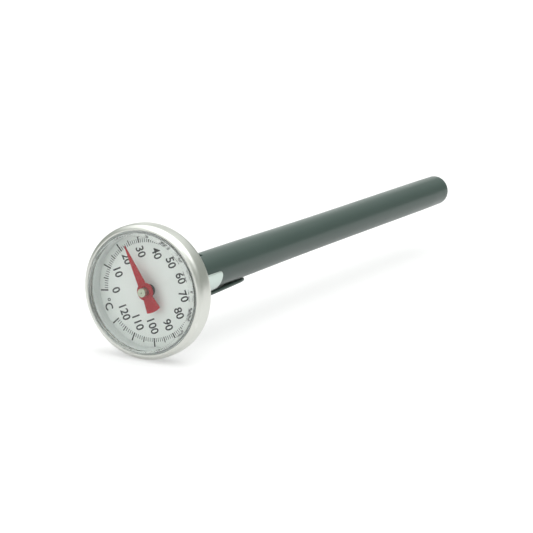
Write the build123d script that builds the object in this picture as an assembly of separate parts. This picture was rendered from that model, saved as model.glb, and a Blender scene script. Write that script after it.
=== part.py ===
"""Pocket dial thermometer with a stem sheath, lying on its side.

Millimetres. +X runs along the stem from the dial to the tip, +Z is up, and the
origin is on the stem axis in the plane of the case's back. The dial faces -X.
Angles on the dial are clock angles: degrees clockwise, as its reader sees them.
"""

from build123d import *
import os
from math import cos, radians, sin, sqrt

# ---- driving dimensions: dial and scale ----
DIAL_ROLL = 64.0  # how far the dial's 12 o'clock is turned clockwise from +Z
MID_READING, DEGREES_PER_C = 60.0, 2.7  # reading at 12 o'clock, and the scale's pitch
REST_READING = 25.0  # degrees Celsius
DIAL_FACE_X, DIAL_THICK = -2.65, 0.35
DIAL_R, DIAL_HOLE_R = 12.6, 1.3

# ---- driving dimensions: case ----
WALL = 0.45  # sheet steel of the case and the bezel
BARREL_R = 14.4  # widest part of the bezel
BARREL_FRONT_X, BARREL_REAR_X = -5.0, -2.9
LIP_R, LIP_X = 13.2, -6.34  # the bezel's front lip, round the crystal
REAR_LIP_R, REAR_LIP_X = 13.6, -1.5  # the crimped rear edge
LIP_BACK_X, CRIMP_END = -5.95, (-1.95, 13.3)
SHOULDER_START, SHOULDER_END, FLAT_R = (-1.9, 13.05), (-0.7, 12.1), 10.9  # the cup's corner
INNER_SHOULDER_START, INNER_SHOULDER_END, INNER_FLAT_R = (-2.2, 12.75), (-1.0, 11.8), 10.8
CRYSTAL_FRONT_X, CRYSTAL_BACK_X = -7.6, -6.3
CRYSTAL_FACE_R, CRYSTAL_SKIRT_R, CRYSTAL_BORE_R = 12.05, 13.42, 12.45
CRYSTAL_SEAT_X = -5.3
GASKET_THICK = 0.18
SPACER_IN_R, SPACER_OUT_R = 12.25, 13.0
GAP = 0.02  # between pieces that rest on each other

# ---- driving dimensions: pointer ----
PLATE_X, PLATE_THICK = -4.6, 0.25
TIP_R, HUB_R, TAIL_R = 10.45, 1.9, 4.62
BLADE_BASE, BLADE_TIP = 1.9, 0.16  # widths
NECK_WIDTH, TAIL_WIDTH = 2.3, 3.5
BOSS_R, BOSS_FRONT_X = 0.95, -6.05
COLLAR_R, COLLAR_LENGTH = 1.0, 0.9
DIMPLE_R, DIMPLE_DEPTH = 0.18, 0.3
SHAFT_R, SHAFT_FRONT_X, SHAFT_END_X = 0.5, -5.6, 93.0

# ---- driving dimensions: stem and what turns on it ----
STEM_R, STEM_BORE_R = 1.9, 1.6
STEM_TOP_X, STEM_END_X, TIP_X = -1.6, 127.5, 129.4
RUNNING = 0.05  # radial clearance of every running fit
EYELET_BORE_R, EYELET_R, EYELET_FLANGE_R = 2.6, 3.4, 4.2
FLANGE_THICK = 0.4
WASHER_R, NUT_X, NUT_FLATS, NUT_LENGTH, NUT_BEVEL = 3.5, 0.5, 7.0, 3.8, 0.35
SPIGOT_R, SPIGOT_END_X = 2.95, 9.5
BUSH_LENGTH, LOWER_BUSH_X = 3.0, 84.0

# ---- driving dimensions: bimetal helix ----
COLLET_R, COLLET_LENGTH = 1.3, 2.5
HELIX_R, HELIX_PITCH = 1.15, 1.5
STRIP_THICK, STRIP_WIDTH = 0.2, 0.6
ANCHOR_X, ANCHOR_LENGTH = 121.5, 1.5

# ---- driving dimensions: sheath ----
MOUTH_X, SHEATH_END_X = 5.0, 135.8
SHEATH_OUTLINE = (
    (5.0, 4.15),
    (20.0, 4.14),
    (36.8, 4.07),
    (56.8, 3.86),
    (80.0, 3.74),
    (120.8, 3.65),
    (134.7, 3.55),
)
MOUTH_BORE_R, SHEATH_BORE_R, SHEATH_BORE_END_R, SHEATH_BORE_END_X = 3.0, 2.9, 2.5, 133.4
SLIT_WIDTH, SLIT_END_X = 1.9, 17.3
BAND_THICK, BAND_START_X, BAND_END_X, BAND_HALF_ANGLE = 0.34, 7.6, 20.1, 99.0
BAND_CORNER = 1.4
CLIP_HALF_ANGLE = 26.0
CLIP_TIP_X, CLIP_ROOT_END_X, CLIP_ROOT_R = 35.6, 7.4, 3.9


def outline_face(*edges):
    """A face bounded by the given edges, in the XY plane, with y as the radius."""
    return make_face(Curve() + list(edges))


def turned(*points):
    """A solid turned about the stem axis from (x, radius) corners."""
    return revolve(make_face(Polyline(*points, close=True)), Axis.X)


def ring(start, end, inner, outer):
    """A plain ring or, with no inner radius, a plain rod along the stem axis."""
    return turned((start, inner), (end, inner), (end, outer), (start, outer))


def dial_plane(x, clock):
    """The plane at x facing the reader, with its y axis at this clock angle of the dial."""
    turn = radians(DIAL_ROLL + clock)
    return Plane(origin=(x, 0, 0), x_dir=(0, -cos(turn), -sin(turn)), z_dir=(-1, 0, 0))


# ---- head: what turns with the dial ----
def bezel_ring():
    """Bulged steel band, lipped over the crystal and crimped over the case's corner."""
    lip_out = (LIP_X, LIP_R + WALL)
    front, rear = (BARREL_FRONT_X, BARREL_R), (BARREL_REAR_X, BARREL_R)
    rear_out, rear_in = (REAR_LIP_X, REAR_LIP_R), (REAR_LIP_X - 0.05, REAR_LIP_R - WALL)
    inner_r = BARREL_R - WALL
    inner_rear, inner_front = (BARREL_REAR_X, inner_r), (BARREL_FRONT_X, inner_r)
    lip_in = (LIP_BACK_X, 13.45)
    return revolve(
        outline_face(
            ThreePointArc((LIP_X, LIP_R), (LIP_X - 0.12, LIP_R + WALL / 2), lip_out),
            ThreePointArc(lip_out, (-5.82, 14.12), front),
            Line(front, rear),
            ThreePointArc(rear, (-2.06, 14.16), rear_out),
            ThreePointArc(rear_out, (REAR_LIP_X + 0.12, REAR_LIP_R - WALL / 2), rear_in),
            Line(rear_in, CRIMP_END),
            ThreePointArc(CRIMP_END, (-2.35, 13.78), inner_rear),
            Line(inner_rear, inner_front),
            ThreePointArc(inner_front, (-5.52, 13.75), lip_in),
            Line(lip_in, (LIP_BACK_X, LIP_R)),
            Line((LIP_BACK_X, LIP_R), (LIP_X, LIP_R)),
        ),
        Axis.X,
    )


def case_back():
    """Pressed steel cup: a wall inside the bezel, a rounded shoulder and a flat back."""
    out_r = BARREL_R - WALL - GAP
    in_r = out_r - WALL
    inner_wall_end = BARREL_REAR_X - 0.4
    return revolve(
        outline_face(
            Line((BARREL_FRONT_X, in_r), (BARREL_FRONT_X, out_r)),
            Line((BARREL_FRONT_X, out_r), (BARREL_REAR_X, out_r)),
            ThreePointArc((BARREL_REAR_X, out_r), (-2.3, 13.45), SHOULDER_START),
            Line(SHOULDER_START, SHOULDER_END),
            ThreePointArc(SHOULDER_END, (-0.18, 11.55), (0, FLAT_R)),
            Line((0, FLAT_R), (0, EYELET_R)),
            Line((0, EYELET_R), (-WALL, EYELET_R)),
            Line((-WALL, EYELET_R), (-WALL, INNER_FLAT_R)),
            ThreePointArc((-WALL, INNER_FLAT_R), (-0.6, 11.35), INNER_SHOULDER_END),
            Line(INNER_SHOULDER_END, INNER_SHOULDER_START),
            ThreePointArc(INNER_SHOULDER_START, (-2.75, 13.2), (inner_wall_end, in_r)),
            Line((inner_wall_end, in_r), (BARREL_FRONT_X, in_r)),
        ),
        Axis.X,
    )


def case_eyelet():
    """Brass eyelet riveted in the case's back, the bearing that the head turns on."""
    barrel = ring(-WALL, 0, EYELET_BORE_R, EYELET_R)
    return barrel + ring(-WALL - FLANGE_THICK, -WALL, EYELET_BORE_R, EYELET_FLANGE_R)


def crystal():
    """Clear cap: a thick flat disc with a sloped flank, on a skirt that the bezel holds."""
    flank = LIP_R - GAP
    shoulder_x = -5.92
    return turned(
        (CRYSTAL_FRONT_X, 0),
        (CRYSTAL_FRONT_X, CRYSTAL_FACE_R - 0.3),
        (CRYSTAL_FRONT_X + 0.1, CRYSTAL_FACE_R),
        (LIP_X - 0.04, flank),
        (shoulder_x, flank),
        (shoulder_x, CRYSTAL_SKIRT_R),
        (CRYSTAL_SEAT_X, CRYSTAL_SKIRT_R),
        (CRYSTAL_SEAT_X, CRYSTAL_BORE_R),
        (CRYSTAL_BACK_X, CRYSTAL_BORE_R),
        (CRYSTAL_BACK_X, 0),
    )


def crystal_gasket():
    """Rubber ring between the crystal's skirt and the spacer."""
    start = CRYSTAL_SEAT_X + GAP
    return ring(start, start + GASKET_THICK, CRYSTAL_BORE_R, SPACER_OUT_R)


def dial_spacer():
    """Ring that holds the dial down and the gasket up."""
    start = CRYSTAL_SEAT_X + GASKET_THICK + 2 * GAP
    return ring(start, DIAL_FACE_X - GAP, SPACER_IN_R, SPACER_OUT_R)


def dial_plate():
    """Aluminium disc that carries the printed scale."""
    return ring(DIAL_FACE_X, DIAL_FACE_X + DIAL_THICK, DIAL_HOLE_R, DIAL_R)


def dial_seat_ring():
    """Ring in the case that the dial rests on."""
    seat_in, seat_out = 9.6, 10.7
    return ring(DIAL_FACE_X + DIAL_THICK + GAP, -WALL - GAP, seat_in, seat_out)


# ---- pointer: what turns with the helix ----
def tapered(start_width, end_width, length):
    """A flat tapered shape along y, from the shaft's axis outwards."""
    a, b = start_width / 2, end_width / 2
    return Polygon((-a, 0), (a, 0), (b, length), (-b, length), align=None)


def pointer():
    """Flat stamped pointer: a tapered blade, a round hub and a flared tail."""
    blade = tapered(BLADE_BASE, BLADE_TIP, TIP_R)
    tail = Rot(0, 0, 180) * tapered(NECK_WIDTH, TAIL_WIDTH, TAIL_R)
    outline = (tail & Circle(TAIL_R)) + blade + Circle(HUB_R) - Circle(SHAFT_R)
    clock = (REST_READING - MID_READING) * DEGREES_PER_C
    return extrude(dial_plane(PLATE_X + PLATE_THICK, clock) * outline, PLATE_THICK)


def pointer_boss():
    """Turned cap that holds the pointer on the shaft's end, with a centre dimple."""
    shell = ring(BOSS_FRONT_X, PLATE_X, 0, BOSS_R) - ring(SHAFT_FRONT_X, PLATE_X, 0, SHAFT_R)
    return shell - ring(BOSS_FRONT_X, BOSS_FRONT_X + DIMPLE_DEPTH, 0, DIMPLE_R)


def pointer_collar():
    """Collar behind the pointer, pressed on the shaft."""
    start = PLATE_X + PLATE_THICK
    return ring(start, start + COLLAR_LENGTH, SHAFT_R, COLLAR_R)


def pointer_shaft():
    """Thin shaft from the pointer down the stem to the helix."""
    return ring(SHAFT_FRONT_X, SHAFT_END_X, 0, SHAFT_R)


def helix_collet():
    """Collet on the shaft's far end, to which the helix's upper end is welded."""
    return ring(SHAFT_END_X - COLLET_LENGTH, SHAFT_END_X, SHAFT_R, COLLET_R)


# ---- stem: what stays still while the head is set ----
def stem_tube():
    """Thin steel tube."""
    return ring(STEM_TOP_X, STEM_END_X, STEM_BORE_R, STEM_R)


def stem_tip_plug():
    """Round-nosed plug welded in the stem's end."""
    plug_x = STEM_END_X - 2.0
    return revolve(
        outline_face(
            Polyline((plug_x, 0), (plug_x, STEM_BORE_R), (STEM_END_X, STEM_BORE_R), (STEM_END_X, STEM_R)),
            Spline((STEM_END_X, STEM_R), (128.9, 1.3), (TIP_X, 0), tangents=((1, 0), (0, -1))),
            Line((TIP_X, 0), (plug_x, 0)),
        ),
        Axis.X,
    )


def pivot_bush():
    """Flanged bush pressed on the stem, which the case's eyelet turns on."""
    bush_r = EYELET_BORE_R - RUNNING
    flange_end = -WALL - FLANGE_THICK - RUNNING
    barrel = ring(flange_end, NUT_X, STEM_R, bush_r)
    return barrel + ring(flange_end - FLANGE_THICK, flange_end, STEM_R, EYELET_FLANGE_R)


def friction_washer():
    """Spring washer between the case's back and the nut."""
    return ring(RUNNING, NUT_X, EYELET_BORE_R, WASHER_R)


def calibration_nut():
    """Hexagon nut fixed on the stem, with a round spigot that the sheath grips."""
    blank = Plane.YZ.offset(NUT_X) * RegularPolygon(NUT_FLATS / 2, 6, major_radius=False)
    end_x, corner_r = NUT_X + NUT_LENGTH, NUT_FLATS / sqrt(3)
    bevel = turned(
        (NUT_X, 0),
        (NUT_X, corner_r - NUT_BEVEL),
        (NUT_X + NUT_BEVEL, corner_r),
        (end_x - NUT_BEVEL, corner_r),
        (end_x, corner_r - NUT_BEVEL),
        (end_x, 0),
    )
    hexagon = extrude(blank, NUT_LENGTH) & bevel
    spigot = ring(end_x, SPIGOT_END_X, 0, SPIGOT_R)
    return hexagon + spigot - ring(NUT_X, SPIGOT_END_X, 0, STEM_R)


def guide_bush(start):
    """Bush in the stem's bore that the shaft turns in."""
    return ring(start, start + BUSH_LENGTH, SHAFT_R + RUNNING, STEM_BORE_R)


def bimetal_helix():
    """Strip of two metals wound into a helix, which twists as it warms."""
    start = SHAFT_END_X + RUNNING + STRIP_WIDTH / 2
    path = Helix(HELIX_PITCH, ANCHOR_X - start, HELIX_R, center=(start, 0, 0), direction=(1, 0, 0))
    begin, along = path @ 0, path % 0
    outwards = Vector(0, begin.Y, begin.Z)
    strip = Plane(origin=begin, x_dir=outwards, z_dir=along) * Rectangle(STRIP_THICK, STRIP_WIDTH)
    return sweep(strip, path, is_frenet=True)


def helix_anchor():
    """Disc pressed in the stem's bore, to which the helix's lower end is welded."""
    return ring(ANCHOR_X, ANCHOR_X + ANCHOR_LENGTH, 0, STEM_BORE_R)


# ---- sheath: what pulls off the stem ----
def sheath_clip():
    """Clip tongue moulded on the mouth's underside, springing towards the tube."""
    profile = outline_face(
        Polyline((MOUTH_X, CLIP_ROOT_R), (MOUTH_X, 5.4), (MOUTH_X + 0.3, 5.68), (18.8, 5.5), (30.6, 5.14)),
        Spline((30.6, 5.14), (33.8, 4.87), (CLIP_TIP_X, 4.42), tangents=((13, -0.4), (0, -1))),
        Spline((CLIP_TIP_X, 4.42), (34.4, 4.19), (32.4, 4.25), tangents=((0, -1), (-1, 0.03))),
        Polyline((32.4, 4.25), (27.0, 4.38), (21.0, 4.6), (CLIP_ROOT_END_X, 4.64)),
        Polyline((CLIP_ROOT_END_X, 4.64), (CLIP_ROOT_END_X, CLIP_ROOT_R), (MOUTH_X, CLIP_ROOT_R)),
    )
    tongue = revolve(profile, Axis.X, 2 * CLIP_HALF_ANGLE)
    return Rot(-90 - CLIP_HALF_ANGLE, 0, 0) * tongue


def sheath_tube():
    """Moulded sheath: a long tapered tube with a slit mouth and its own clip."""
    end_r = SHEATH_OUTLINE[-1][1]
    outer = revolve(
        outline_face(
            Line((MOUTH_X, 0), SHEATH_OUTLINE[0]),
            Spline(*SHEATH_OUTLINE),
            ThreePointArc(SHEATH_OUTLINE[-1], (135.45, 3.2), (SHEATH_END_X, end_r - 1.15)),
            Line((SHEATH_END_X, end_r - 1.15), (SHEATH_END_X, 0)),
            Line((SHEATH_END_X, 0), (MOUTH_X, 0)),
        ),
        Axis.X,
    )
    bore = turned(
        (MOUTH_X, 0),
        (MOUTH_X, MOUTH_BORE_R),
        (SPIGOT_END_X, MOUTH_BORE_R),
        (SPIGOT_END_X + 0.1, SHEATH_BORE_R),
        (SHEATH_BORE_END_X - 1.0, SHEATH_BORE_END_R),
        (SHEATH_BORE_END_X, SHEATH_BORE_END_R - 1.0),
        (SHEATH_BORE_END_X, 0),
    )
    slit = Pos((MOUTH_X + SLIT_END_X) / 2, 0, MOUTH_BORE_R + 0.6) * Box(SLIT_END_X - MOUTH_X, SLIT_WIDTH, 3)
    return outer + sheath_clip() - bore - slit


def mouth_band():
    """Springy steel band, open at the top, that squeezes the sheath's slit mouth."""
    inner = SHEATH_OUTLINE[0][1] + GAP
    profile = make_face(
        Polyline(
            (BAND_START_X, inner),
            (BAND_END_X, inner),
            (BAND_END_X, inner + BAND_THICK),
            (BAND_START_X, inner + BAND_THICK),
            close=True,
        )
    )
    band = Rot(-90 - BAND_HALF_ANGLE, 0, 0) * revolve(profile, Axis.X, 2 * BAND_HALF_ANGLE)
    corners = band.edges().filter_by(lambda edge: edge.length < 2 * BAND_THICK).sort_by(Axis.X)
    return fillet(corners[-2:], BAND_CORNER)


PARTS = {
    "bezel_ring": bezel_ring(),
    "case_back": case_back(),
    "case_eyelet": case_eyelet(),
    "crystal": crystal(),
    "crystal_gasket": crystal_gasket(),
    "dial_spacer": dial_spacer(),
    "dial_plate": dial_plate(),
    "dial_seat_ring": dial_seat_ring(),
    "pointer": pointer(),
    "pointer_boss": pointer_boss(),
    "pointer_collar": pointer_collar(),
    "pointer_shaft": pointer_shaft(),
    "helix_collet": helix_collet(),
    "stem_tube": stem_tube(),
    "stem_tip_plug": stem_tip_plug(),
    "pivot_bush": pivot_bush(),
    "friction_washer": friction_washer(),
    "calibration_nut": calibration_nut(),
    "upper_guide_bush": guide_bush(STEM_TOP_X),
    "lower_guide_bush": guide_bush(LOWER_BUSH_X),
    "bimetal_helix": bimetal_helix(),
    "helix_anchor": helix_anchor(),
    "sheath_tube": sheath_tube(),
    "mouth_band": mouth_band(),
}

os.makedirs("parts", exist_ok=True)
for name, shape in PARTS.items():
    export_step(shape, f"parts/{name}.step")
    print(name, "volume", round(shape.volume, 2))
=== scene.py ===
# %% [markdown]
# # A pocket dial thermometer in its sheath
#
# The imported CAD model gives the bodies, the joints and the size of every part. Here each
# visible part gets a finely made mesh in the same place, and a finish of its own. All
# lengths are in millimetres in the helpers and in metres in Blender. The stem lies along
# +X, the dial faces -X and +Z is up.

# %% load the frame
import bpy
import bmesh
from math import asin, cos, degrees, pi, radians, sin
from mathutils import Matrix, Vector


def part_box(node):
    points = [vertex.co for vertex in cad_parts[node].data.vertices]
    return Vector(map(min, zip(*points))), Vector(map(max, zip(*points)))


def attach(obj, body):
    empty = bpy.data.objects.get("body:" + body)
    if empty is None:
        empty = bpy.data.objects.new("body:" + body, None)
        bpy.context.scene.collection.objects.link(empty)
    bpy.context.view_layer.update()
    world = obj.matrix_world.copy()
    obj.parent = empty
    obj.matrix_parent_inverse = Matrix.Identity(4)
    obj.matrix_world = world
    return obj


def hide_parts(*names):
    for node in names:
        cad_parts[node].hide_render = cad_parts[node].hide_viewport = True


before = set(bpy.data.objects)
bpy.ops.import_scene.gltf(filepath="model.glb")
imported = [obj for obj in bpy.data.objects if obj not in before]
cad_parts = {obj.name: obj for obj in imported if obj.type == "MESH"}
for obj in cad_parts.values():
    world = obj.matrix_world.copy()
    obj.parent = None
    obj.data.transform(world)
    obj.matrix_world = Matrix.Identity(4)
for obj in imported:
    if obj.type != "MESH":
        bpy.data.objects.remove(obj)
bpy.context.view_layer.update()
MM = 0.001


def extent(node):
    """Front x, rear x and outer radius of a round CAD node, in millimetres."""
    low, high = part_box(node)
    return low.x / MM, high.x / MM, high.z / MM


for name in sorted(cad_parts):
    front, rear, radius = extent(name)
    print(f"{name:18s} x {front:7.2f} to {rear:7.2f} mm, radius {radius:5.2f} mm")

# %% [markdown]
# ## The camera
#
# It comes first, because it settles how large every detail is. A short lens close by would
# make the head swell in front of the stem. A long lens from two thirds of a metre away
# flattens the perspective instead, so head and stem keep their proportions. A small roll
# makes the stem climb to the right.

# %% camera
LENS, SENSOR = 195.75, 36.0
CAMERA_AZIMUTH, CAMERA_ELEVATION, CAMERA_ROLL = -61.65, 12.65, 2.21
CAMERA_DISTANCE = 0.647
NEAREST, FARTHEST = 0.01, 20.0  # metres: the camera sees what lies between
AIM = Vector((44.9, -1.63, -3.27)) * MM


def look_back(azimuth, elevation):
    """Unit vector from the object towards a camera at this azimuth and elevation."""
    a, e = radians(azimuth), radians(elevation)
    return Vector((sin(a) * cos(e), -cos(a) * cos(e), sin(e)))


camera = bpy.data.objects.new("camera", bpy.data.cameras.new("camera"))
bpy.context.scene.collection.objects.link(camera)
camera.data.lens = LENS
camera.data.sensor_width = SENSOR
camera.data.clip_start = NEAREST
camera.data.clip_end = FARTHEST
back = look_back(CAMERA_AZIMUTH, CAMERA_ELEVATION)
aim_turn = (-back).to_track_quat("-Z", "Y").to_matrix().to_4x4()
roll_turn = Matrix.Rotation(radians(CAMERA_ROLL), 4, "Z")
camera.matrix_world = Matrix.Translation(AIM + back * CAMERA_DISTANCE) @ aim_turn @ roll_turn
bpy.context.scene.camera = camera
print("camera at", [round(v, 4) for v in camera.matrix_world.translation])

# %% [markdown]
# ## Soft corners
#
# A real edge always has a small radius, and that radius is what catches the light. A Bevel
# modifier could add it to a finished mesh. Here the corners of the outline are rounded
# before it's swept, because each corner then gets the radius that its part really has.

# %% soft corners
def soften(corners, steps=6):
    """Points along an outline of (x, radius, softness) corners, each corner rounded."""
    points = []
    for i, (x, r, soft) in enumerate(corners):
        here = Vector((x, r))
        before = Vector(corners[i - 1][:2]) - here
        after = Vector(corners[(i + 1) % len(corners)][:2]) - here
        if soft == 0:
            points.append(here)
            continue
        start = here + before.normalized() * min(soft, before.length * 0.5)
        end = here + after.normalized() * min(soft, after.length * 0.5)
        for k in range(steps + 1):
            t = k / steps
            points.append(start * (1 - t) ** 2 + here * 2 * t * (1 - t) + end * t**2)
    return [(p.x, p.y) for p in points]


sample = soften([(0, 0, 1), (4, 0, 0), (4, 4, 0)])
print("one soft corner becomes", len(sample) - 2, "points")

# %% [markdown]
# ## Turned parts
#
# Nearly every part of a thermometer is turned, spun or drawn. Such a shape could be built
# with a Screw modifier or from stacked cylinders. Here an outline is swept round the stem's
# axis in code, because the same few lines then serve every part and the numbers stay
# readable.

# %% turned parts
TURNS = 192  # steps round the axis
SMOOTH_ANGLE = 35  # degrees: faces that meet at less than this are shaded as one
SAME_POINT = 1e-7  # metres


def new_piece(name, verts, faces, body, sharp=SMOOTH_ANGLE):
    """A closed mesh in millimetres as a smooth-shaded piece that rides on a CAD body."""
    mesh = bpy.data.meshes.new(name)
    mesh.from_pydata([Vector(v) * MM for v in verts], [], faces)
    work = bmesh.new()
    work.from_mesh(mesh)
    bmesh.ops.remove_doubles(work, verts=work.verts, dist=SAME_POINT)
    bmesh.ops.recalc_face_normals(work, faces=work.faces)
    work.to_mesh(mesh)
    work.free()
    mesh.shade_smooth()
    mesh.set_sharp_from_angle(angle=radians(sharp))
    piece = bpy.data.objects.new(name, mesh)
    bpy.context.scene.collection.objects.link(piece)
    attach(piece, body)
    return piece


def joining_faces(loops, count, closed):
    """Four-sided faces between neighbouring loops that have this count of points each."""
    faces = []
    for k in range(loops if closed else loops - 1):
        here, there = k * count, (k + 1) % loops * count
        for i in range(count):
            after = (i + 1) % count
            faces.append((here + i, here + after, there + after, there + i))
    return faces


def turned(name, outline, body, turns=TURNS, sharp=SMOOTH_ANGLE):
    """A closed outline of (x, radius) points swept once round the stem's axis."""
    angles = [2 * pi * k / turns for k in range(turns)]
    verts = [(x, -r * sin(a), r * cos(a)) for a in angles for x, r in outline]
    faces = joining_faces(turns, len(outline), closed=True)
    on_axis = [y == 0 and z == 0 for _, y, z in verts]
    open_faces = [face for face in faces if not all(on_axis[v] for v in face)]
    return new_piece(name, verts, open_faces, body, sharp)


print("turned meshes have", TURNS, "sides")

# %% [markdown]
# ## Shared effects for the finishes
#
# Three effects come back in many finishes: fine lines left by turning, soft marks left by
# handling, and edges rubbed bright. They could be built again in every material, but then
# a change has to be made a dozen times. A node group is built once and placed where it is
# wanted. Each gives out only a mask, and each finish decides what the mask does to it.

# %% helpers for node groups
def new_group(name, inputs, output):
    """An empty shader group with float inputs and one float output."""
    group = bpy.data.node_groups.new(name, "ShaderNodeTree")
    sockets = group.interface
    for label, value in inputs.items():
        socket = sockets.new_socket(name=label, in_out="INPUT", socket_type="NodeSocketFloat")
        socket.default_value = value
    sockets.new_socket(name=output, in_out="OUTPUT", socket_type="NodeSocketFloat")
    return group, group.nodes.new("NodeGroupInput"), group.nodes.new("NodeGroupOutput")


def add_math(tree, operation, first, second=None):
    """A math node whose inputs are sockets or plain numbers; gives its output."""
    node = tree.nodes.new("ShaderNodeMath")
    node.operation = operation
    for socket, value in zip(node.inputs, (first, second)):
        if isinstance(value, bpy.types.NodeSocket):
            tree.links.new(value, socket)
        elif value is not None:
            socket.default_value = value
    return node.outputs[0]


print("a node group starts with its own input and output nodes")

# %% [markdown]
# ## Turning lines
#
# A lathe or a spinning brush leaves rings round the axis on every steel part. A wave
# texture would draw them too evenly. This group stretches noise instead: it's fine along
# the stem and across the radius, and coarse round the circle, so the rings come and go.

# %% turning lines
def turning_lines():
    """Fine rings round the stem's axis, as a lathe or a spinning brush leaves them."""
    group, inner, outer = new_group("turning lines", {"Fineness": 9000.0, "Breadth": 2.0}, "Lines")
    links = group.links
    place = group.nodes.new("ShaderNodeTexCoord")
    split = group.nodes.new("ShaderNodeSeparateXYZ")
    links.new(place.outputs["Object"], split.inputs[0])
    squares = add_math(group, "MULTIPLY", split.outputs["Y"], split.outputs["Y"])
    other = add_math(group, "MULTIPLY", split.outputs["Z"], split.outputs["Z"])
    radius = add_math(group, "SQRT", add_math(group, "ADD", squares, other))
    angle = add_math(group, "ARCTAN2", split.outputs["Y"], split.outputs["Z"])
    join = group.nodes.new("ShaderNodeCombineXYZ")
    for axis, length, stretch in (
        ("X", split.outputs["X"], "Fineness"),
        ("Y", radius, "Fineness"),
        ("Z", angle, "Breadth"),
    ):
        links.new(add_math(group, "MULTIPLY", length, inner.outputs[stretch]), join.inputs[axis])
    noise = group.nodes.new("ShaderNodeTexNoise")
    noise.inputs["Scale"].default_value = 1.0
    noise.inputs["Detail"].default_value = 4.0
    links.new(join.outputs[0], noise.inputs["Vector"])
    links.new(noise.outputs["Fac"], outer.inputs["Lines"])
    return group


LINES = turning_lines()
print("turning lines take", len(LINES.nodes), "nodes")

# %% [markdown]
# ## Handling marks
#
# A pocket tool is handled all day, so nothing on it has quite the same sheen all over. The
# marks could be painted by hand as a texture, but two sizes of noise laid over each other
# look much the same and fit any shape without unwrapping it.

# %% handling marks
def handling_marks():
    """Soft cloudy smudges with finer specks over them."""
    group, inner, outer = new_group("handling marks", {"Size": 160.0, "Specks": 0.35}, "Marks")
    links = group.links
    place = group.nodes.new("ShaderNodeTexCoord")
    noises = []
    for detail, factor in ((3.0, 1.0), (6.0, 9.0)):  # smudges, then specks
        noise = group.nodes.new("ShaderNodeTexNoise")
        noise.inputs["Detail"].default_value = detail
        links.new(place.outputs["Object"], noise.inputs["Vector"])
        links.new(add_math(group, "MULTIPLY", inner.outputs["Size"], factor), noise.inputs["Scale"])
        noises.append(noise.outputs["Fac"])
    mix = group.nodes.new("ShaderNodeMix")
    links.new(inner.outputs["Specks"], mix.inputs[0])
    links.new(noises[0], mix.inputs[2])
    links.new(noises[1], mix.inputs[3])
    links.new(mix.outputs[0], outer.inputs["Marks"])
    return group


MARKS = handling_marks()
print("marks mix", sum(node.type == "TEX_NOISE" for node in MARKS.nodes), "sizes of noise")

# %% [markdown]
# ## Rubbed edges
#
# Outer corners lose their surface first, and show brighter. Blender's pointiness says how
# much a surface bulges at a place, so it finds those corners by itself. Noise breaks the
# line up, because real wear is never even.

# %% rubbed edges
def rubbed_edges():
    """Mask that is bright on convex edges, broken up so it doesn't look drawn on."""
    group, inner, outer = new_group("rubbed edges", {"Reach": 0.06, "Amount": 0.6}, "Rubbed")
    links = group.links
    shape = group.nodes.new("ShaderNodeNewGeometry")
    place = group.nodes.new("ShaderNodeTexCoord")
    noise = group.nodes.new("ShaderNodeTexNoise")
    noise.inputs["Scale"].default_value = 900.0
    links.new(place.outputs["Object"], noise.inputs["Vector"])
    above = add_math(group, "SUBTRACT", shape.outputs["Pointiness"], 0.5)
    ramp = add_math(group, "DIVIDE", above, inner.outputs["Reach"])
    limit = group.nodes.new("ShaderNodeClamp")
    links.new(ramp, limit.inputs["Value"])
    broken = add_math(group, "MULTIPLY", limit.outputs[0], noise.outputs["Fac"])
    links.new(add_math(group, "MULTIPLY", broken, inner.outputs["Amount"]), outer.inputs["Rubbed"])
    return group


RUBBED = rubbed_edges()
print("shared effects:", [group.name for group in (LINES, MARKS, RUBBED)])

# %% [markdown]
# ## A finish from a few numbers
#
# No real surface has one flat colour. Each finish here is a Principled BSDF whose colour
# drifts between two tones with the handling marks, and turns towards a rubbed tone on the
# edges. Its roughness follows the same marks, and a small bump comes from turning lines or
# from moulded grain. Each material could be wired by hand. One function does it here,
# because the finishes of this object differ only in their numbers.

# %% finish builder
LEAST_MARKED, MOST_MARKED = 0.3, 0.7  # where most of the handling marks' values lie
BUMP_DEPTH = 0.00002  # metres


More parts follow.
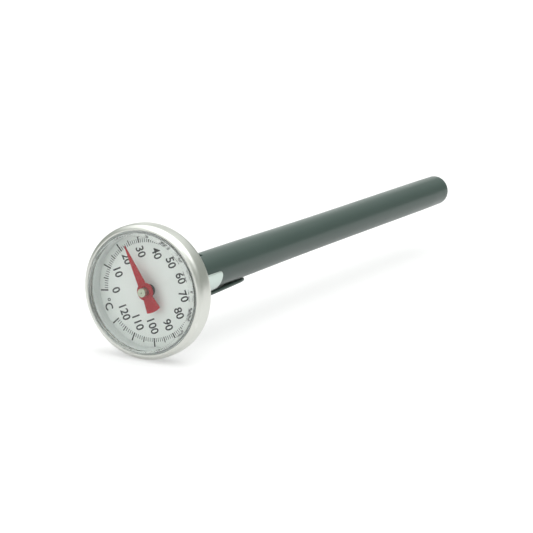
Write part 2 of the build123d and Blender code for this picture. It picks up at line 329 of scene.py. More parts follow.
def finish(
    name, tones, rubbed, rough,
    metallic=0.0, marks=160.0, lines=None, grain=None, bump=0.0, **plain,
):
    """A material: tones and rubbed are linear colours, rough is (least, most)."""
    material = bpy.data.materials.new(name)
    material.use_nodes = True
    tree = material.node_tree
    shader = tree.nodes["Principled BSDF"]
    shader.inputs["Metallic"].default_value = metallic
    for socket, value in plain.items():
        shader.inputs[socket.replace("_", " ")].default_value = value

    def group(which, **values):
        """One of the shared effects, placed here with its own values."""
        node = tree.nodes.new("ShaderNodeGroup")
        node.node_tree = which
        for label, value in values.items():
            node.inputs[label].default_value = value
        return node.outputs[0]

    def blend(factor, first, second):
        """A mix of two colours, each of them a socket or a plain tone."""
        node = tree.nodes.new("ShaderNodeMix")
        node.data_type = "RGBA"
        tree.links.new(factor, node.inputs[0])
        for socket, value in ((node.inputs[6], first), (node.inputs[7], second)):
            if isinstance(value, bpy.types.NodeSocket):
                tree.links.new(value, socket)
            else:
                socket.default_value = (*value, 1.0)
        return node.outputs[2]

    marked = group(MARKS, Size=marks)
    body = blend(marked, *tones)
    edge = group(RUBBED)
    tree.links.new(blend(edge, body, rubbed), shader.inputs["Base Color"])
    spread = tree.nodes.new("ShaderNodeMapRange")
    tree.links.new(marked, spread.inputs["Value"])
    spread.inputs["From Min"].default_value = LEAST_MARKED
    spread.inputs["From Max"].default_value = MOST_MARKED
    spread.inputs["To Min"].default_value = rough[0]
    spread.inputs["To Max"].default_value = rough[1]
    tree.links.new(spread.outputs[0], shader.inputs["Roughness"])
    if bump:
        relief = tree.nodes.new("ShaderNodeBump")
        relief.inputs["Strength"].default_value = bump
        relief.inputs["Distance"].default_value = BUMP_DEPTH
        height = group(LINES, Fineness=lines) if lines else group(MARKS, Size=grain, Specks=0.7)
        tree.links.new(height, relief.inputs["Height"])
        tree.links.new(relief.outputs[0], shader.inputs["Normal"])
    return material


def dress(piece, material):
    """Gives a piece its finish."""
    piece.data.materials.clear()
    piece.data.materials.append(material)


print("a finish takes two tones, a rubbed tone and a range of roughness")

# %% [markdown]
# ## The metals
#
# The head is satin stainless steel, spun and then brushed. The band round the sheath has a
# cooler tone, and the stem is smoother. The inner fittings are brass, but the ones that can
# be seen through the hole in the dial are near black, as painted shade for the dark hole
# beside the hub. All of them are full metals: their colour is the colour of what they reflect.

# %% metals
case_steel = finish(
    "case steel",
    ((0.575, 0.585, 0.545), (0.635, 0.645, 0.61)),
    (0.74, 0.74, 0.72), (0.30, 0.40),
    metallic=1.0, lines=9000.0, bump=0.08,
)
band_steel = finish(
    "band steel",
    ((0.52, 0.60, 0.56), (0.58, 0.66, 0.62)),
    (0.74, 0.78, 0.76), (0.32, 0.42),
    metallic=1.0, lines=6000.0, bump=0.1,
)
stem_steel = finish(
    "stem steel",
    ((0.54, 0.54, 0.52), (0.62, 0.62, 0.61)),
    (0.76, 0.76, 0.75), (0.18, 0.28),
    metallic=1.0, lines=7000.0, bump=0.1,
)
brass = finish(
    "turned brass",
    ((0.52, 0.38, 0.15), (0.60, 0.45, 0.19)),
    (0.8, 0.65, 0.34), (0.25, 0.38),
    metallic=1.0, lines=7000.0, bump=0.1,
)
# painted shade: near-black brass for the dark hole beside the pointer's hub
brass_painted_as_shade = finish(
    "brass painted as shade",
    ((0.010, 0.009, 0.008), (0.022, 0.019, 0.015)),
    (0.10, 0.08, 0.05), (0.45, 0.6),
    metallic=0.6, lines=7000.0, bump=0.1,
)
print("metals:", [metal.name for metal in (case_steel, band_steel, stem_steel, brass, brass_painted_as_shade)])

# %% [markdown]
# ## The plastics and the rubber
#
# The sheath is a dark grey-green moulding with a soft sheen. Its tint is easy to lose under
# a strong highlight, so its specular level is low. The pale plastic and the rubber are
# inside the head, and take their look from the light that comes through the crystal.

# %% plastics and rubber
sheath_plastic = finish(
    "sheath plastic",
    ((0.032, 0.052, 0.045), (0.043, 0.065, 0.057)),
    (0.085, 0.120, 0.108), (0.27, 0.36),
    marks=90.0, grain=260.0, bump=0.05,
    Specular_IOR_Level=0.28, Specular_Tint=(0.9, 1.0, 0.95, 1.0),
)
pale_plastic = finish(
    "spacer plastic",
    ((0.74, 0.78, 0.765), (0.80, 0.83, 0.815)),
    (0.84, 0.86, 0.85), (0.4, 0.5),
    grain=1500.0, bump=0.1,
)
gasket_rubber = finish(
    "gasket rubber",
    ((0.66, 0.69, 0.67), (0.72, 0.75, 0.73)),
    (0.8, 0.82, 0.8), (0.45, 0.6),
    grain=1800.0, bump=0.2, Subsurface_Weight=0.1,
)
print("plastics:", [plastic.name for plastic in (sheath_plastic, pale_plastic, gasket_rubber)])

# %% [markdown]
# ## The dial, the ink and the pointer
#
# The dial is satin silver. As a full metal it would mirror the room and go dark at some
# angles, so it's mostly a pale diffuse surface with a little metal in it. The ink is matt
# and nearly black. The pointer's red is deep, and the boss is lathe-cut metal, a little
# warmer than the bezel.

# %% dial, ink and pointer
dial_silver = finish(
    "dial silver",
    ((0.82, 0.845, 0.82), (0.87, 0.89, 0.87)),
    (0.88, 0.89, 0.88), (0.42, 0.52),
    metallic=0.12, lines=5000.0, bump=0.06,
)
dial_ink = finish(
    "dial ink",
    ((0.006, 0.007, 0.007), (0.016, 0.018, 0.018)),
    (0.05, 0.05, 0.05), (0.45, 0.6),
    marks=700.0, grain=3000.0, bump=0.1, Specular_IOR_Level=0.2,
)
pointer_red = finish(
    "pointer red",
    ((0.36, 0.004, 0.012), (0.43, 0.007, 0.017)),
    (0.55, 0.06, 0.07), (0.24, 0.34),
    marks=300.0, grain=2400.0, bump=0.06, Specular_IOR_Level=0.08,
)
boss_metal = finish(
    "boss metal",
    ((0.37, 0.40, 0.30), (0.45, 0.48, 0.37)),
    (0.75, 0.75, 0.7), (0.3, 0.4),
    metallic=1.0, lines=16000.0, bump=0.3,
)
spring_strip = finish(
    "spring strip",
    ((0.30, 0.30, 0.28), (0.38, 0.37, 0.34)),
    (0.6, 0.6, 0.58), (0.3, 0.42),
    metallic=1.0, marks=400.0, grain=3000.0, bump=0.2,
)
print("dial finishes:", [paint.name for paint in (dial_silver, dial_ink, pointer_red, boss_metal)])

# %% [markdown]
# ## The clear plastic
#
# The crystal is moulded acrylic. Two finishes share it: the flat face is clear, and the
# sloped flank is slightly frosted, as it is on a moulding that is polished only in front.
# The index is set below that of real acrylic, because the pale floor would otherwise be
# mirrored in the face and veil the pointer.

# %% clear plastic
clear_crystal = finish(
    "clear crystal",
    ((0.97, 0.99, 0.98), (0.98, 0.995, 0.988)),
    (0.985, 0.995, 0.99), (0.0, 0.008),
    marks=120.0, grain=900.0, bump=0.006, Transmission_Weight=1.0, IOR=1.36,
)
frosted_crystal = finish(
    "frosted crystal",
    ((0.93, 0.95, 0.94), (0.98, 0.99, 0.985)),
    (0.985, 0.995, 0.99), (0.10, 0.26),
    marks=700.0, grain=900.0, bump=0.25, Transmission_Weight=1.0, IOR=1.36,
)
print("finishes:", len(bpy.data.materials))

# %% [markdown]
# ## The bezel
#
# A strip of steel is spun into a bulging ring. Its front lip presses on the crystal and
# its rear edge is crimped over the corner of the case. A torus with a thickness modifier
# would come close, but its section is a plain circle. One outline with soft corners makes
# it here, because the ring is flat outside, tight at the lip and rounder at the back.

# %% bezel
bezel_front, bezel_rear, barrel = extent("bezel_ring")
LIP_OVERLAP, SHEET = 0.22, 0.45  # reach over the crystal's edge, thickness of the steel
lip = extent("crystal")[2] - LIP_OVERLAP
bezel = turned(
    "bezel",
    soften([
        (bezel_front + 0.04, lip, 0.08),
        (bezel_front + 0.04, lip + 0.42, 0.22),
        (bezel_front + 0.70, barrel, 0.75),
        (bezel_rear - 0.72, barrel, 1.1),
        (bezel_rear, barrel - 0.9, 0.3),
        (bezel_rear, barrel - 1.25, 0.1),
        (bezel_rear - 0.5, barrel - 1.1, 0.1),
        (bezel_rear - 1.5, barrel - SHEET, 0.5),
        (bezel_rear - 3.6, barrel - SHEET, 0.5),
        (bezel_front + 0.5, lip + 0.2, 0.1),
        (bezel_front + 0.5, lip, 0.06),
    ], steps=8),
    "head", sharp=50,
)
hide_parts("bezel_ring")
dress(bezel, case_steel)
print("bezel:", len(bezel.data.polygons), "faces, radius", round(barrel, 2), "mm")

# %% [markdown]
# ## The case's back
#
# A shallow pressed cup. Its wall is hidden in the bezel, so what shows is the rounded
# shoulder and the flat back with the eyelet in its middle. It could be a closed disc, but
# then the parts inside would be buried in it. It's made as bent sheet with an inside and a
# hole for the eyelet, so it stays a real cup when the model is taken apart.

# %% case back
case_front, case_rear, case_r = extent("case_back")
EYELET_HOLE_R = 3.4
SHOULDER_X, FLAT_R = -2.75, case_r - 3.4  # where the wall ends, where the back gets flat
case = turned(
    "case_cup",
    soften([
        (case_front, case_r - SHEET, 0.05),
        (case_front, case_r, 0.05),
        (SHOULDER_X, case_r, 0.6),
        (-1.85, case_r - 0.95, 0.3),
        (-0.35, case_r - 2.2, 0.9),
        (case_rear, FLAT_R, 0.8),
        (case_rear, EYELET_HOLE_R, 0.06),
        (-SHEET, EYELET_HOLE_R, 0.06),
        (-SHEET, FLAT_R, 0.8),
        (-2.3, case_r - 1.15, 0.5),
        (-3.0, case_r - SHEET, 0.4),
    ]),
    "head",
)
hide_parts("case_back")
dress(case, case_steel)
print("case is", round(case_rear - case_front, 2), "mm deep, of sheet", SHEET, "mm thick")

# %% [markdown]
# ## The crystal
#
# One clear moulding with a thick flat face. Its flank slopes outwards to the lip, and that
# slope bends the view of the dial's rim. A ring painted on the dial would imitate this from
# one side only, so the slope is real geometry and the plastic really refracts.

# %% crystal
glass_front, glass_rear, skirt = extent("crystal")
FACE_R, FACE_THICKNESS, SKIRT_BORE = 12.2, 1.3, 12.45
glass_back = glass_front + FACE_THICKNESS
flank_end, flank_r = bezel_front + 0.1, lip - 0.02  # where the slope dips under the lip
skirt_start = bezel_front + 0.52
crystal = turned(
    "crystal_cap",
    soften([
        (glass_front, 0, 0),
        (glass_front, FACE_R, 0.12),
        (flank_end, flank_r, 0.12),
        (skirt_start, flank_r, 0.04),
        (skirt_start, skirt, 0.04),
        (glass_rear, skirt, 0.04),
        (glass_rear, SKIRT_BORE, 0.04),
        (glass_back, SKIRT_BORE, 0.2),
        (glass_back, 0, 0),
    ]),
    "head",
)
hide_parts("crystal")
dress(crystal, clear_crystal)
crystal.data.materials.append(frosted_crystal)
for face in crystal.data.polygons:
    across = Vector(face.center[1:]).length / MM
    if across > FACE_R and face.center.x / MM < flank_end:
        face.material_index = 1
print("crystal is", FACE_THICKNESS, "mm thick, flat face radius", FACE_R, "mm")

# %% [markdown]
# ## The dial plate
#
# The dial is a thin silver disc with a hole for the pointer's shaft. It could be a flat
# circle, but the hole shows beside the pointer's hub and would have no wall, so the disc
# has its real thickness. The thermometer lies on its side, so the dial's own 12 o'clock is
# turned over. The helper puts a place on the dial, as its reader sees it, into the scene.

# %% dial plate
DIAL_ROLL = 64.0  # the dial's 12 o'clock, clockwise from straight up
dial_front, dial_rear, dial_r = extent("dial_plate")
HOLE_R = 1.3
dial = turned(
    "dial_disc",
    soften([
        (dial_front, HOLE_R, 0.04),
        (dial_front, dial_r, 0.04),
        (dial_rear, dial_r, 0.04),
        (dial_rear, HOLE_R, 0.04),
    ], steps=3),
    "head",
)
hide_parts("dial_plate")
dress(dial, dial_silver)


def on_dial(right, up, x, roll=DIAL_ROLL):
    """The point at this place as the reader sees the dial, at this height along the stem."""
    turn = radians(roll)
    return (x, -right * cos(turn) - up * sin(turn), -right * sin(turn) + up * cos(turn))


print("dial radius", round(dial_r, 2), "mm, hole radius", HOLE_R, "mm")

# %% [markdown]
# ## The scale
#
# The scale runs clockwise over 324 degrees with a line for every degree, a longer one at
# each five and the longest at each ten. It is screen-printed ink. An image would blur when
# the camera comes close, so every line is a mesh of its own, a hair above the metal.

# %% scale lines
DEGREES_PER_C, MID_READING, TOP_READING = 2.7, 60, 120
INK_FRONT, INK_BACK = 0.012, 0.002  # how far the ink stands off the dial
RING_R = 10.2  # inner ends of the lines
LINE_KINDS = {10: (12.07, 0.30), 5: (11.40, 0.22), 1: (11.05, 0.13)}  # outer radius, width


def scale_line(reading):
    """Corners of one line of the scale as (right, up) pairs."""
    outer_r, width = LINE_KINDS[next(step for step in (10, 5, 1) if reading % step == 0)]
    clock = radians((reading - MID_READING) * DEGREES_PER_C)
    along = Vector((sin(clock), cos(clock)))
    across = Vector((cos(clock), -sin(clock))) * width / 2
    inner_end, outer_end = along * RING_R, along * outer_r
    return [inner_end - across, inner_end + across, outer_end + across, outer_end - across]


verts, faces = [], []
for reading in range(TOP_READING + 1):
    first = len(verts)
    for x in (dial_front - INK_FRONT, dial_front - INK_BACK):
        verts += [on_dial(p.x, p.y, x) for p in scale_line(reading)]
    faces += [[first + i for i in range(4)], [first + 4 + i for i in range(4)]]
    for i, after in ((0, 1), (1, 2), (2, 3), (3, 0)):
        faces.append([first + i, first + after, first + 4 + after, first + 4 + i])
scale = new_piece("scale_lines", verts, faces, "head")
dress(scale, dial_ink)
print("scale lines:", len(faces) // 6)

# %% [markdown]
# ## The numbers
#
# The numbers are printed with the scale, and all stand upright to the dial's 12 o'clock.
# Text could stay a text object, but it becomes a mesh here, because only a mesh can be
# measured, narrowed and set to an exact height. The font is Blender's own.

# %% printed text
NUMBER_HEIGHT, NUMBER_NARROWING = 2.0, 0.90
TEXT_DEPTH, TEXT_BOLDNESS = 0.003, 0.018
TEXT_MID = 0.008  # distance of the ink's middle from the dial


def as_plain_mesh(holder):
    """The mesh of an object as it shows, with its text or modifiers worked out."""
    bpy.context.view_layer.update()
    shown = holder.evaluated_get(bpy.context.evaluated_depsgraph_get())
    return bpy.data.meshes.new_from_object(shown)


def printed(name, text, right, up, height):
    """Text centred at a place on the dial, as a thin raised mesh."""
    curve = bpy.data.curves.new(name, "FONT")
    curve.body = text
    curve.align_x = "CENTER"
    curve.align_y = "CENTER"
    curve.size = 1.0
    curve.extrude = TEXT_DEPTH
    curve.offset = TEXT_BOLDNESS
    curve.resolution_u = 5
    holder = bpy.data.objects.new(name, curve)
    bpy.context.scene.collection.objects.link(holder)
    mesh = as_plain_mesh(holder)
    bpy.data.objects.remove(holder)
    xs, ys = [v.co.x for v in mesh.vertices], [v.co.y for v in mesh.vertices]
    scale_up = height / (max(ys) - min(ys))
    mid_x, mid_y = (max(xs) + min(xs)) / 2, (max(ys) + min(ys)) / 2
    for v in mesh.vertices:
        x = dial_front - TEXT_MID - v.co.z
        place_right = right + (v.co.x - mid_x) * scale_up * NUMBER_NARROWING
        place_up = up + (v.co.y - mid_y) * scale_up
        v.co = Vector(on_dial(place_right, place_up, x)) * MM
    return mesh


def join_meshes(name, meshes, body):
    """One piece from several meshes that are already in place."""
    work = bmesh.new()
    for mesh in meshes:
        work.from_mesh(mesh)
        bpy.data.meshes.remove(mesh)
    bmesh.ops.recalc_face_normals(work, faces=work.faces)
    joined = bpy.data.meshes.new(name)
    work.to_mesh(joined)
    work.free()
    piece = bpy.data.objects.new(name, joined)
    bpy.context.scene.collection.objects.link(piece)
    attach(piece, body)
    return piece


print("numbers are", NUMBER_HEIGHT, "mm high")

# %% [markdown]
# ## Where the numbers stand
#
# The numbers stand on one circle inside the scale. They could all have the same radius, but
# the wide ones from 100 up would then touch their lines, so a printer moves those inwards.
# The unit sign fills the gap between the scale's two ends.

# %% numbers
NUMBER_R, WIDE_NUMBER_R = 8.25, {100: 7.75, 110: 7.8, 120: 8.2}
numbers = []
for reading in range(0, TOP_READING + 1, 10):
    clock = radians((reading - MID_READING) * DEGREES_PER_C)
    r = WIDE_NUMBER_R.get(reading, NUMBER_R)
    place = (r * sin(clock), r * cos(clock))
    numbers.append(printed(f"number_{reading}", str(reading), *place, NUMBER_HEIGHT))
numbers.append(printed("unit_letter", "C", 0.1, -11.0, 1.9))
numbers.append(printed("unit_ring", "o", -1.2, -10.35, 0.75))
figures = join_meshes("dial_figures", numbers, "head")
dress(figures, dial_ink)
print("numbers on the dial:", len(numbers) - 2)

# %% [markdown]
# ## The ring round the dial, and the parts inside
#
# A pale plastic ring fills the space between dial and crystal. It shows as a soft inner
# wall at the far side of the dial, so it gets a finer mesh. The parts deeper in the head
# and in the stem keep their CAD meshes, which already have the right shape, and only get
# their finishes. A second mesh there would add nothing that anyone can see.

# %% dial surround and inner parts
ring_front, ring_rear, ring_r = extent("dial_spacer")
RING_BORE = 12.25
spacer = turned(
    "dial_surround",
    soften([
        (ring_front, RING_BORE, 0.15),
        (ring_front, ring_r, 0.05),
        (ring_rear, ring_r, 0.05),
        (ring_rear, RING_BORE, 0.05),
    ]),
    "head",
)
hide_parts("dial_spacer")
dress(spacer, pale_plastic)
for node, material in (
    ("dial_seat_ring", pale_plastic),
    ("crystal_gasket", gasket_rubber),
    ("case_eyelet", brass),
    # pivot bush, pointer collar and upper guide bush get the near-black brass: painted shade in the
    # dial's hole
    ("pivot_bush", brass_painted_as_shade),
    ("pointer_collar", brass_painted_as_shade),
    ("helix_collet", brass),
    ("upper_guide_bush", brass_painted_as_shade),
    ("lower_guide_bush", brass),
    ("helix_anchor", brass),
    ("bimetal_helix", spring_strip),
    ("friction_washer", spring_strip),
    ("pointer_shaft", stem_steel),
    ("stem_tube", stem_steel),
    ("stem_tip_plug", stem_steel),
    ("calibration_nut", stem_steel),
):
    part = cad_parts[node]
    part.data.materials.clear()
    part.data.materials.append(material)
print("inner parts keep their CAD meshes")

# %% [markdown]
# ## The pointer
#
# The pointer is stamped from thin sheet and painted red. A crease along the blade keeps it
# stiff and splits it into a light and a dark facet. The hub is a plain disc, and the tail
# flares to balance the blade. It could be a flat shape with a thickness, but the crease is
# what makes it read as metal, so the blade is built in rows across its length.

# %% the pointer's outline
REST_READING = 25
plate_front, plate_rear, _ = extent("pointer")
POINTER_ROLL = DIAL_ROLL + (REST_READING - MID_READING) * DEGREES_PER_C
HUB_R, TIP_R, TAIL_R = 1.9, 10.45, 4.62
HALF_BASE, HALF_TIP, HALF_NECK, HALF_TAIL = 0.95, 0.08, 1.15, 1.72  # half widths


def arc_points(radius, start, end, steps):
    """Points (right, up) on a circle between two clock angles in degrees."""
    clocks = [radians(start + (end - start) * k / steps) for k in range(steps + 1)]
    return [(radius * sin(c), radius * cos(c)) for c in clocks]


def pointer_outline():
    """Right half of the pointer from the crease's foot round to the tail's middle."""
    base = degrees(asin(HALF_BASE / HUB_R))
    neck = 180 - degrees(asin(HALF_NECK / HUB_R))
    tail = 180 - degrees(asin(HALF_TAIL / TAIL_R))
    return arc_points(HUB_R, base, neck, 16) + arc_points(TAIL_R, tail, 180, 8)


half = pointer_outline()
print("half of the outline has", len(half), "points")

# %% [markdown]
# ## The pointer's plate
#
# The hub and the tail are one flat face. The blade is a strip of two rows of faces that
# meet on the crease, which rises quickly from the hub and sinks towards the tip. Extruding
# a flat outline would lose the crease, so the front, the back and the edge are made in turn.

# %% pointer
CREASE_HEIGHTS = ((2.6, 0.2), (6.5, 0.14), (TIP_R, 0.03))  # radius, height of the crease
rim = half + [(-x, y) for x, y in reversed(half[:-1])]
blade_foot = half[0][1]
verts = [on_dial(x, y, plate_front, POINTER_ROLL) for x, y in rim]
crease_foot = len(verts)
verts.append(on_dial(0, blade_foot, plate_front, POINTER_ROLL))
faces = [[*range(len(rim)), crease_foot]]
last = (len(rim) - 1, crease_foot, 0)
blade_edge_right, blade_edge_left = [0], [len(rim) - 1]
for y, lift in CREASE_HEIGHTS:
    along = (y - blade_foot) / (TIP_R - blade_foot)
    half_width = HALF_BASE + (HALF_TIP - HALF_BASE) * along
    here = len(verts)
    verts += [
        on_dial(-half_width, y, plate_front, POINTER_ROLL),
        on_dial(0, y, plate_front - lift, POINTER_ROLL),
        on_dial(half_width, y, plate_front, POINTER_ROLL),
    ]
    now = (here, here + 1, here + 2)
    faces += [[last[0], last[1], now[1], now[0]], [last[1], last[2], now[2], now[1]]]
    blade_edge_left.append(now[0])
    blade_edge_right.append(now[2])
    last = now
edge = list(range(1, len(rim) - 1)) + blade_edge_left + [last[1]] + blade_edge_right[::-1]
behind = len(verts)
verts += [(plate_rear, verts[i][1], verts[i][2]) for i in edge]
count = len(edge)
faces.append([behind + i for i in range(count)])
for i in range(count):
    after = (i + 1) % count
    faces.append([edge[i], edge[after], behind + after, behind + i])
pointer = new_piece("pointer_plate", verts, faces, "pointer", sharp=15)
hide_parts("pointer")
dress(pointer, pointer_red)
print("pointer reads", REST_READING, "degrees, tip radius", TIP_R, "mm")

# %% [markdown]
# ## The boss on the pointer
#
# A small turned cap holds the pointer on its shaft, and the lathe's centre leaves a dimple
# in it. A cylinder with a bump map would look flat in the low light from the side. It is
# swept like the other turned parts, so the dimple is a real hole with a soft edge.

# %% boss on the pointer
boss_front, boss_rear, boss_r = extent("pointer_boss")
DIMPLE_R, DIMPLE_DEPTH = 0.16, 0.25
boss = turned(
    "pointer_cap",
    soften([
        (boss_front + DIMPLE_DEPTH, 0, 0),
        (boss_front + DIMPLE_DEPTH, DIMPLE_R * 0.8, 0.03),
        (boss_front, DIMPLE_R, 0.03),
        (boss_front, boss_r, 0.1),
        (boss_rear, boss_r, 0.03),
        (boss_rear, 0, 0),
    ]),
    "pointer", turns=64,
)
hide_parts("pointer_boss")
dress(boss, boss_metal)
print("boss radius", round(boss_r, 2), "mm, dimple", DIMPLE_DEPTH, "mm deep")

# %% [markdown]
# ## The sheath
#
# A long moulding that tapers from the mouth to a rounded end. A cone would be the quick
# way, but the real side isn't straight: it thins faster in the middle. So the outline
# passes smoothly through a few radii along the length.

# %% sheath tube
sheath_start, sheath_end, _ = extent("sheath_tube")
SHEATH_RADII = (
    (0.0, 4.15), (15.0, 4.14), (31.8, 4.07), (51.8, 3.86),
    (75.0, 3.74), (115.8, 3.65), (129.7, 3.55),
)  # distance from the mouth, outer radius
MOUTH_BORE_R, BORE_R, BORE_END_R = 3.0, 2.9, 2.5
GRIP_END, GRIP_STEP, BORE_END = 4.5, 0.1, 128.4  # lengths from the mouth, and of the step
BORE_CHAMFER = 0.8
MOUTH_EDGE, NOSE = 0.15, 1.1  # chamfer at the mouth, radius of the rounded end
MOULDED_ANGLE = 40  # degrees: the smooth angle for the sheath and its strips


def smooth_through(points, steps=10):
    """Points on a curve that passes through the given ones."""
    out = []
    for i in range(len(points) - 1):
        a, b = Vector(points[i]), Vector(points[i + 1])
        before = Vector(points[i - 1]) if i else a - (b - a)
        after = Vector(points[i + 2]) if i + 2 < len(points) else b + (b - a)
        for k in range(steps):
            t = k / steps
            out.append(tuple(
                0.5 * (2 * a + (b - before) * t + (2 * before - 5 * a + 4 * b - after) * t**2
                       + (3 * a - before - 3 * b + after) * t**3)
            ))
    return [*out, tuple(points[-1])]


side = [(sheath_start + d, r) for d, r in smooth_through(SHEATH_RADII)]
end_r = side[-1][1]
nose = []
for step_angle in range(15, 91, 15):
    a = radians(step_angle)
    nose.append((side[-1][0] + NOSE * sin(a), end_r - NOSE * (1 - cos(a))))
bore_bottom = sheath_start + BORE_END
bore = [
    (bore_bottom, 0),
    (bore_bottom, BORE_END_R - BORE_CHAMFER),
    (bore_bottom - BORE_CHAMFER, BORE_END_R),
    (sheath_start + GRIP_END + GRIP_STEP, BORE_R),
    (sheath_start + GRIP_END, MOUTH_BORE_R),
    (sheath_start, MOUTH_BORE_R),
]
mouth = [(sheath_start, side[0][1] - MOUTH_EDGE), (sheath_start + MOUTH_EDGE, side[0][1])]
outline = mouth + side[1:] + nose + [(sheath_end, 0)] + bore
sheath = turned("sheath", outline, "sheath", turns=128, sharp=MOULDED_ANGLE)
print("sheath is", round(sheath_end - sheath_start, 1), "mm long")

# %% [markdown]
# ## The slit in the mouth
#
# The mouth is slit along the top so that it can spread and grip the spigot of the nut. The
# slit could be left out of the mesh by hand, face by face. A Boolean modifier with a box
# does it in one step, and is applied at once so that the piece ends up as a plain mesh.

# %% slit in the mouth
def cut_away(piece, low, high):
    """Takes a box between two corners, in millimetres, out of a piece."""
    tool_mesh = bpy.data.meshes.new("cutter")
    work = bmesh.new()
    bmesh.ops.create_cube(work, size=1.0)
    for v in work.verts:
        v.co = Vector([(a + b) / 2 + c * (b - a) for a, b, c in zip(low, high, v.co)]) * MM
    work.to_mesh(tool_mesh)
    work.free()
    tool = bpy.data.objects.new("cutter", tool_mesh)
    bpy.context.scene.collection.objects.link(tool)
    cut = piece.modifiers.new("cut", "BOOLEAN")
    cut.object = tool
    cut.operation = "DIFFERENCE"
    cut.solver = "EXACT"
    mesh = as_plain_mesh(piece)
    piece.modifiers.clear()
    piece.data = mesh
    bpy.data.objects.remove(tool)
    mesh.shade_smooth()
    mesh.set_sharp_from_angle(angle=radians(MOULDED_ANGLE))


SLIT_WIDTH, SLIT_LENGTH = 1.9, 12.3
cut_away(
    sheath,
    (sheath_start - 1, -SLIT_WIDTH / 2, 1.0),
    (sheath_start + SLIT_LENGTH, SLIT_WIDTH / 2, 6.0),
)
dress(sheath, sheath_plastic)
print("slit is", SLIT_WIDTH, "mm wide and", SLIT_LENGTH, "mm long")

# %% [markdown]
# ## Strips curled round the sheath
#
# The clip and the steel band are both strips that follow the sheath's round surface. Either
# could be cut out of a tube, or be a flat strip bent by a modifier. A row of cross-sections
# is easier to control: each one has its own width, its own distance from the axis and
# rounded edges.

# %% curled strip
def curled_strip(name, stations, body, across=28, cap=5):
    """Sweeps (x, half angle, inner radius, outer radius) stations, centred straight down."""
    verts = []
    for x, half_angle, inner_r, outer_r in stations:
        mid, thick = (inner_r + outer_r) / 2, (outer_r - inner_r) / 2
        reach = radians(half_angle) - thick / mid
        loop = [(outer_r, -reach + 2 * reach * k / across) for k in range(across + 1)]
        for side_sign in (1, -1):
            for k in range(1, cap):
                t = pi / 2 - pi * k / cap
                past_edge = reach + thick * cos(t) / mid
                loop.append((mid + side_sign * thick * sin(t), side_sign * past_edge))
            if side_sign == 1:
                loop += [(inner_r, reach - 2 * reach * k / across) for k in range(across + 1)]
        verts += [(x, r * sin(a), -r * cos(a)) for r, a in loop]
    count = len(verts) // len(stations)
    faces = joining_faces(len(stations), count, closed=False)
    faces += [tuple(range(count)), tuple(range(len(verts) - count, len(verts)))]
    return new_piece(name, verts, faces, body, sharp=MOULDED_ANGLE)


print("a strip is a row of cross-sections under the sheath's belly")

# %% [markdown]
# ## The clip
#
# The clip is a tongue moulded in one with the sheath, which holds it on a pocket's edge. It
# stands a little off the sheath, leans in towards its tip and ends in a rounded nose. A
# separate cutter could round the nose. Here the last cross-sections just get narrower along
# a quarter circle, which leaves no seam.

# %% clip tongue
CLIP_HALF, CLIP_REACH = 26.0, 30.6
clip_profile = (
    (0.0, 3.9, 5.35), (0.3, 3.9, 5.66), (2.1, 3.9, 5.65), (2.4, 4.64, 5.64),
    (8.0, 4.63, 5.58), (13.8, 4.61, 5.50), (16.0, 4.60, 5.44),
    (22.0, 4.38, 5.26), (25.6, 4.28, 5.14), (27.4, 4.24, 5.06),
)  # distance from the mouth, inner and outer radius
nose_start, _, nose_outer = clip_profile[-1]
NOSE_INNER, NOSE_THINNING = 4.22, 0.5
stations = [(sheath_start + d, CLIP_HALF, inner, outer) for d, inner, outer in clip_profile]
for a in (20, 38, 53, 66, 76, 84):
    turn = radians(a)
    x = sheath_start + nose_start + (CLIP_REACH - nose_start) * sin(turn)
    outer = nose_outer - NOSE_THINNING * (1 - cos(turn))
    stations.append((x, CLIP_HALF * cos(turn) ** 0.5, NOSE_INNER, outer))
clip = curled_strip("clip_tongue", stations, "sheath")
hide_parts("sheath_tube")
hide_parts("sheath_tube")
dress(clip, sheath_plastic)
print("clip reaches", CLIP_REACH, "mm along the sheath")

# %% [markdown]
# ## The steel band
#
# A thin steel band holds the mouth together, and is open at the top where the slit is. It
# could be a plain half ring, but the corners at its rear are rounded, and one of them shows
# just behind the head. Its last cross-sections are shortened along a quarter circle there.

# %% steel band round the mouth
band_start, band_end, _ = extent("mouth_band")
BAND_IN, BAND_OUT, BAND_HALF, BAND_CORNER = 4.17, 4.51, 99.0, 1.0
band_stations = [
    (band_start, BAND_HALF - 2, BAND_IN, BAND_OUT),
    (band_start + 0.3, BAND_HALF, BAND_IN, BAND_OUT),
]
for a in (0, 20, 40, 55, 70, 80, 88):
    run = BAND_CORNER * sin(radians(a))
    lost = degrees(BAND_CORNER * (1 - cos(radians(a))) / BAND_OUT)
    band_stations.append((band_end - BAND_CORNER + run, BAND_HALF - lost, BAND_IN, BAND_OUT))
band = curled_strip("mouth_band_strip", band_stations, "sheath", across=72)
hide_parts("mouth_band")
dress(band, band_steel)
print("band covers", 2 * BAND_HALF, "degrees of the mouth")

# %% [markdown]
# ## The floor
#
# The floor is level under the head's rim, and runs parallel to the stem so that the sheath
# can be pulled right off above it. White paper under a lamp would do, but it would need a
# lamp so strong that the dial burns out. So the floor glows a little, as a light table
# does, which also keeps the shadows faint.

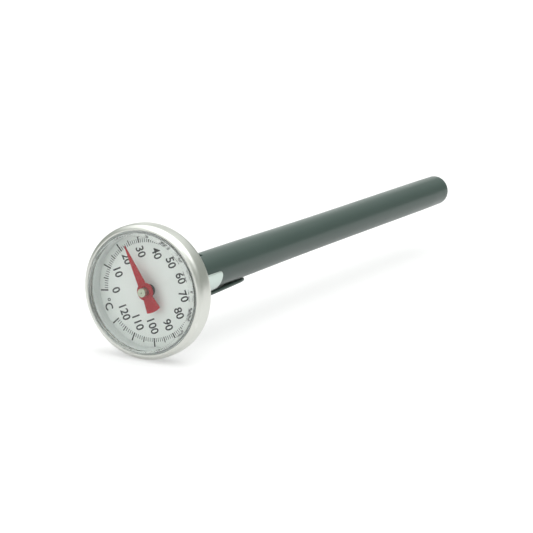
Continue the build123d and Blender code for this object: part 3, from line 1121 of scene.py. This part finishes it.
# %% floor
floor_mesh = bpy.data.meshes.new("floor")
FLOOR_REACH = 3.0  # metres from the middle of the floor to its edge
PAPER_TONE, PAPER_GLOW, PAPER_ROUGHNESS = 0.42, 0.44, 0.8
corner_signs = ((-1, -1), (1, -1), (1, 1), (-1, 1))
floor_corners = [(FLOOR_REACH * x, FLOOR_REACH * y, 0) for x, y in corner_signs]
floor_mesh.from_pydata(floor_corners, [], [(0, 1, 2, 3)])
floor = bpy.data.objects.new("floor", floor_mesh)
bpy.context.scene.collection.objects.link(floor)
floor.location.z = -barrel * MM
floor_paper = bpy.data.materials.new("floor paper")
floor_paper.use_nodes = True
floor_shader = floor_paper.node_tree.nodes["Principled BSDF"]
floor_shader.inputs["Base Color"].default_value = (PAPER_TONE, PAPER_TONE, PAPER_TONE, 1)
floor_shader.inputs["Emission Color"].default_value = (1, 1, 1, 1)
floor_shader.inputs["Emission Strength"].default_value = PAPER_GLOW
floor_shader.inputs["Roughness"].default_value = PAPER_ROUGHNESS
floor_mesh.materials.append(floor_paper)
print("floor at z", round(-barrel, 2), "mm")

# %% [markdown]
# ## The room
#
# Steel only looks like steel if it has light and darker things to reflect. A plain white
# room would make it flat, and an image of a studio would bring a file with it. A colour
# ramp over the height does the same as a small studio tent: darker at the horizon, bright
# overhead.

# %% room
world = bpy.data.worlds.new("room")
bpy.context.scene.world = world
world.use_nodes = True
tree = world.node_tree
place = tree.nodes.new("ShaderNodeTexCoord")
split = tree.nodes.new("ShaderNodeSeparateXYZ")
tree.links.new(place.outputs["Generated"], split.inputs[0])
ramp = tree.nodes.new("ShaderNodeValToRGB")
tree.links.new(split.outputs["Z"], ramp.inputs[0])
SKY = (
    (0.0, (0.30, 0.33, 0.29)),
    (0.50, (0.50, 0.53, 0.50)),
    (0.74, (1.80, 1.83, 1.81)),
    (1.0, (2.2, 2.2, 2.2)),
)  # height from the bottom of the room to its top, colour
for element in list(ramp.color_ramp.elements)[1:]:
    ramp.color_ramp.elements.remove(element)
ramp.color_ramp.elements[0].position = SKY[0][0]
ramp.color_ramp.elements[0].color = (*SKY[0][1], 1)
for position, color in SKY[1:]:
    ramp.color_ramp.elements.new(position).color = (*color, 1)
tree.links.new(ramp.outputs[0], tree.nodes["Background"].inputs["Color"])
tree.nodes["Background"].inputs["Strength"].default_value = 1.0
print("room brightens in", len(SKY), "steps from floor to ceiling")

# %% [markdown]
# ## The lamps
#
# Three soft square lamps stand round the object. The largest hangs over it, one lights the
# dial from the front, and a weak one behind draws a thin line of light along the top of
# the sheath. Sun or point lamps would give hard shadows, which a studio avoids.

# %% lamps
def softbox(name, azimuth, elevation, distance, size, power):
    """A square area lamp that faces the middle of the object."""
    lamp = bpy.data.objects.new(name, bpy.data.lights.new(name, "AREA"))
    bpy.context.scene.collection.objects.link(lamp)
    lamp.data.shape = "SQUARE"
    lamp.data.size = size
    lamp.data.energy = power
    towards = look_back(azimuth, elevation)
    facing = towards.to_track_quat("Z", "Y").to_matrix().to_4x4()
    lamp.matrix_world = Matrix.Translation(AIM + towards * distance) @ facing
    return lamp


LAMPS = {
    "ceiling_box": (20, 75, 1.2, 1.2, 6.0),
    "front_box": (-100, 30, 0.9, 0.6, 2.2),
    "far_box": (116, 10, 1.0, 0.40, 0.42),
}  # azimuth, elevation, distance and size in metres, power in watts
for name, setting in LAMPS.items():
    softbox(name, *setting)
bpy.context.scene.view_settings.view_transform = "Standard"
